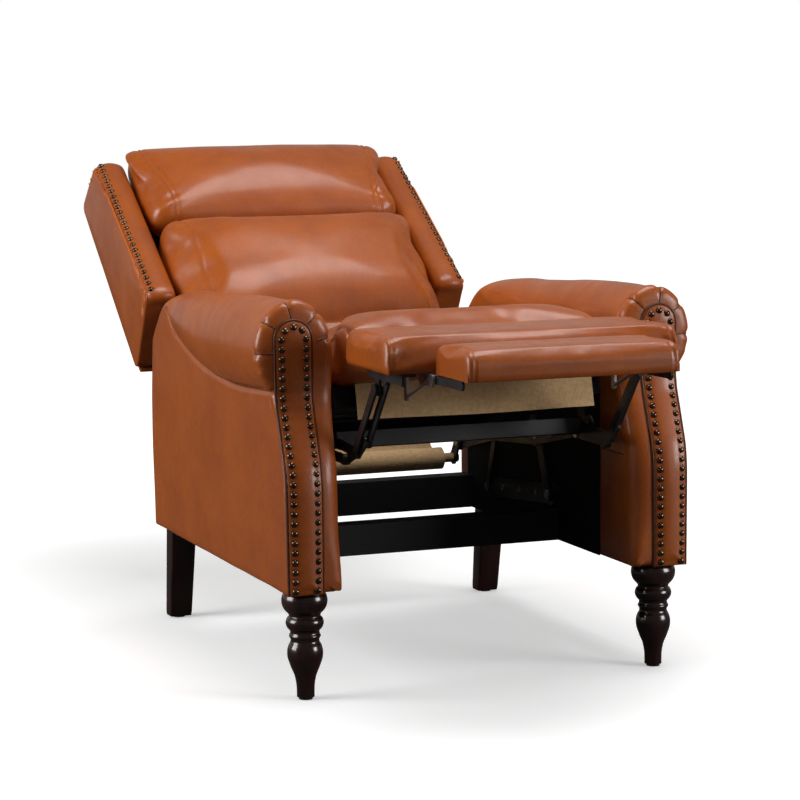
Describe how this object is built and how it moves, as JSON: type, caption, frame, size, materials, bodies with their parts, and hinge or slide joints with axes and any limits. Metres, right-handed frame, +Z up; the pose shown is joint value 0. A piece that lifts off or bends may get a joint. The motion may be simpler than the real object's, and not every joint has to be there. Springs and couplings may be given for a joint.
{
  "type": "recliner",
  "caption": "Reclined wingback armchair with rolled arms, turned front legs, nail-head trim and an extended padded footrest on a folding steel linkage.",
  "frame": {"origin": "on the floor, under the middle of the chair in its reclined pose with the footrest out", "axes": "+Z up, -Y towards the footrest end that the sitter faces, +X to the right of the picture seen from the front"},
  "size_m": [0.7394, 1.6582, 0.8429],
  "materials": {
    "cognac_leather": "glossy",
    "espresso_wood": "satin",
    "plain_wood": "raw",
    "black_wood": "matte",
    "tan_cloth": "woven",
    "black_lining": "woven",
    "black_plastic": "matte",
    "zinc_steel": "satin",
    "black_steel": "semi-gloss"
  },
  "bodies": {
    "base": {"arm_frame_left": "plain_wood", "arm_frame_right": "plain_wood", "arm_cover_left": "cognac_leather", "arm_cover_right": "cognac_leather", "arm_front_panel_left": "cognac_leather", "arm_front_panel_right": "cognac_leather", "inner_lining_left": "black_lining", "inner_lining_right": "black_lining", "front_leg_left": "espresso_wood", "front_leg_right": "espresso_wood", "rear_leg_left": "espresso_wood", "rear_leg_right": "espresso_wood", "leg_bolts": "zinc_steel", "leg_glides": "black_plastic", "rear_rail": "black_wood", "middle_rail": "black_wood", "mounting_plate_left": "black_steel", "mounting_plate_right": "black_steel", "mounting_screws": "zinc_steel", "base_rivets": "zinc_steel"},
    "rear_links": {"rear_link_left": "black_steel", "rear_link_right": "black_steel"},
    "front_links": {"front_link_left": "black_steel", "front_link_right": "black_steel"},
    "seat": {"seat_plate_left": "black_steel", "seat_plate_right": "black_steel", "seat_rivets": "zinc_steel", "seat_frame": "plain_wood", "seat_cushion": "cognac_leather", "seat_front_cloth": "tan_cloth", "return_spring_left": "zinc_steel", "return_spring_right": "zinc_steel"},
    "drive": {"drive_tube": "black_steel", "lower_link_left": "black_steel", "lower_link_right": "black_steel"},
    "upper_links": {"upper_link_left": "black_steel", "upper_link_right": "black_steel"},
    "twin_links": {"twin_link_left": "black_steel", "twin_link_right": "black_steel"},
    "tail_links": {"tail_link_left": "black_steel", "tail_link_right": "black_steel"},
    "ottoman": {"ottoman_bracket_left": "black_steel", "ottoman_bracket_right": "black_steel", "ottoman_board": "plain_wood", "ottoman_pad": "cognac_leather", "flipper_support_left": "black_steel", "flipper_support_right": "black_steel"},
    "flipper": {"flipper_bracket_left": "black_steel", "flipper_bracket_right": "black_steel", "flipper_board": "plain_wood", "flipper_pad": "cognac_leather"},
    "back": {"back_frame": "plain_wood", "lumbar_cushion": "cognac_leather", "head_pillow": "cognac_leather", "wing_left": "cognac_leather", "wing_right": "cognac_leather", "outside_back_panel": "cognac_leather", "back_bracket_left": "black_steel", "back_bracket_right": "black_steel", "back_tail": "tan_cloth"}
  },
  "joints": [
    {"name": "back_recline", "type": "hinge", "parent": "seat", "child": "back", "pos_m": [0, 0.2021, 0.295], "axis": [1, 0, 0], "range_deg": [0, 35]},
    {"name": "rear_link_swing", "type": "hinge", "parent": "base", "child": "rear_links", "pos_m": [0, 0.0871, 0.225], "axis": [1, 0, 0], "range_deg": [-22.1, 0]},
    {"name": "seat_tip", "type": "hinge", "parent": "rear_links", "child": "seat", "pos_m": [0, 0.04806, 0.32998], "axis": [1, 0, 0], "range_deg": [0, 34.1]},
    {"name": "front_link_swing", "type": "hinge", "parent": "base", "child": "front_links", "pos_m": [0, -0.1809, 0.25], "axis": [1, 0, 0], "range_deg": [-30.4, 0]},
    {"name": "footrest", "type": "hinge", "parent": "seat", "child": "drive", "pos_m": [0, -0.3639, 0.392], "axis": [1, 0, 0], "range_deg": [0, 78], "deforming": ["return_spring_left", "return_spring_right"]},
    {"name": "upper_link_turn", "type": "hinge", "parent": "drive", "child": "upper_links", "pos_m": [0, -0.47979, 0.38694], "axis": [1, 0, 0], "range_deg": [-91.8, 0]},
    {"name": "twin_link_turn", "type": "hinge", "parent": "drive", "child": "twin_links", "pos_m": [0, -0.50979, 0.40694], "axis": [1, 0, 0], "range_deg": [-91.8, 0]},
    {"name": "tail_link_swing", "type": "hinge", "parent": "seat", "child": "tail_links", "pos_m": [0, -0.3272, 0.3748], "axis": [1, 0, 0], "range_deg": [0, 76.24]},
    {"name": "pad_turn", "type": "hinge", "parent": "upper_links", "child": "ottoman", "pos_m": [0, -0.57196, 0.49796], "axis": [1, 0, 0], "range_deg": [0, 91.8]},
    {"name": "flipper_fold", "type": "hinge", "parent": "ottoman", "child": "flipper", "pos_m": [0, -0.6879, 0.522], "axis": [1, 0, 0], "range_deg": [0, 180]}
  ],
  "couplings": [
    {"joint": "rear_link_swing", "follows": "back_recline", "ratio": -0.63138},
    {"joint": "seat_tip", "follows": "back_recline", "ratio": 0.97424},
    {"joint": "front_link_swing", "follows": "back_recline", "ratio": -0.86857},
    {"joint": "upper_link_turn", "follows": "footrest", "ratio": -1.1769},
    {"joint": "twin_link_turn", "follows": "footrest", "ratio": -1.1769},
    {"joint": "tail_link_swing", "follows": "footrest", "ratio": 0.97731},
    {"joint": "pad_turn", "follows": "footrest", "ratio": 1.1769},
    {"joint": "flipper_fold", "follows": "footrest", "ratio": 2.3077}
  ]
}
